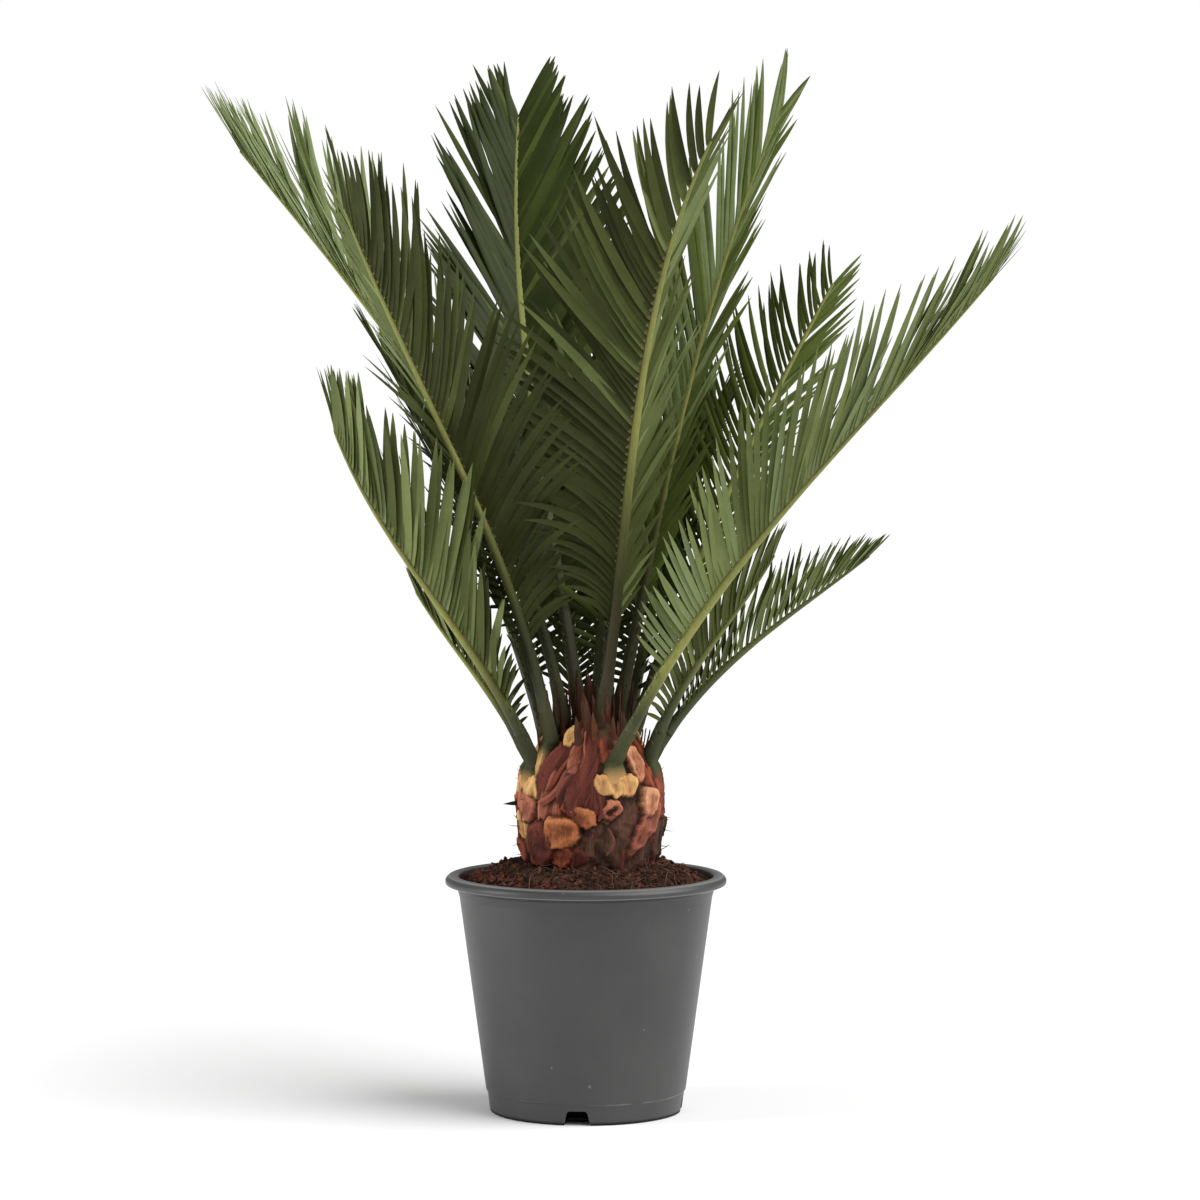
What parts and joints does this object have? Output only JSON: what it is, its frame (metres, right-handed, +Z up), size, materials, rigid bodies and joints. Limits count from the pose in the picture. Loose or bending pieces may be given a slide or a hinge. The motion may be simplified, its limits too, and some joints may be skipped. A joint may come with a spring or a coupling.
{
  "type": "potted sago palm",
  "caption": "Young sago palm with a short scaly trunk and a crown of stiff feather-shaped fronds, growing in a round grey nursery pot",
  "frame": {"origin": "Middle of the pot's flat underside, where the pot stands", "axes": "+Z up, -Y towards the side that the picture shows, +X to that side's right"},
  "size_m": [0.485, 0.4457, 0.6519],
  "materials": {
    "pot_plastic": "smooth satin grey plastic with faint scuffs near the foot",
    "compost": "dark brown potting compost with fibres and bark chips",
    "caudex_bark": "rough orange-brown leaf bases with dark fibre between them",
    "bud_scale": "dry papery reddish-brown scales",
    "frond_green": "stiff glossy dark green leaflets on a yellow-green rib"
  },
  "bodies": {
    "root": {"pot": "pot_plastic", "compost": "compost", "caudex": "caudex_bark", "bud": "bud_scale", "frond_front_tall": "frond_green", "frond_left_front": "frond_green", "frond_right_long": "frond_green", "frond_back_tall": "frond_green", "frond_left_low": "frond_green", "frond_right_mid": "frond_green", "frond_right_tall": "frond_green", "frond_left_long": "frond_green", "frond_right_low": "frond_green", "frond_back_mid": "frond_green", "frond_back_left": "frond_green", "frond_back_right": "frond_green", "frond_right_short": "frond_green", "frond_left_short": "frond_green", "frond_back_low": "frond_green"}
  },
  "joints": []
}
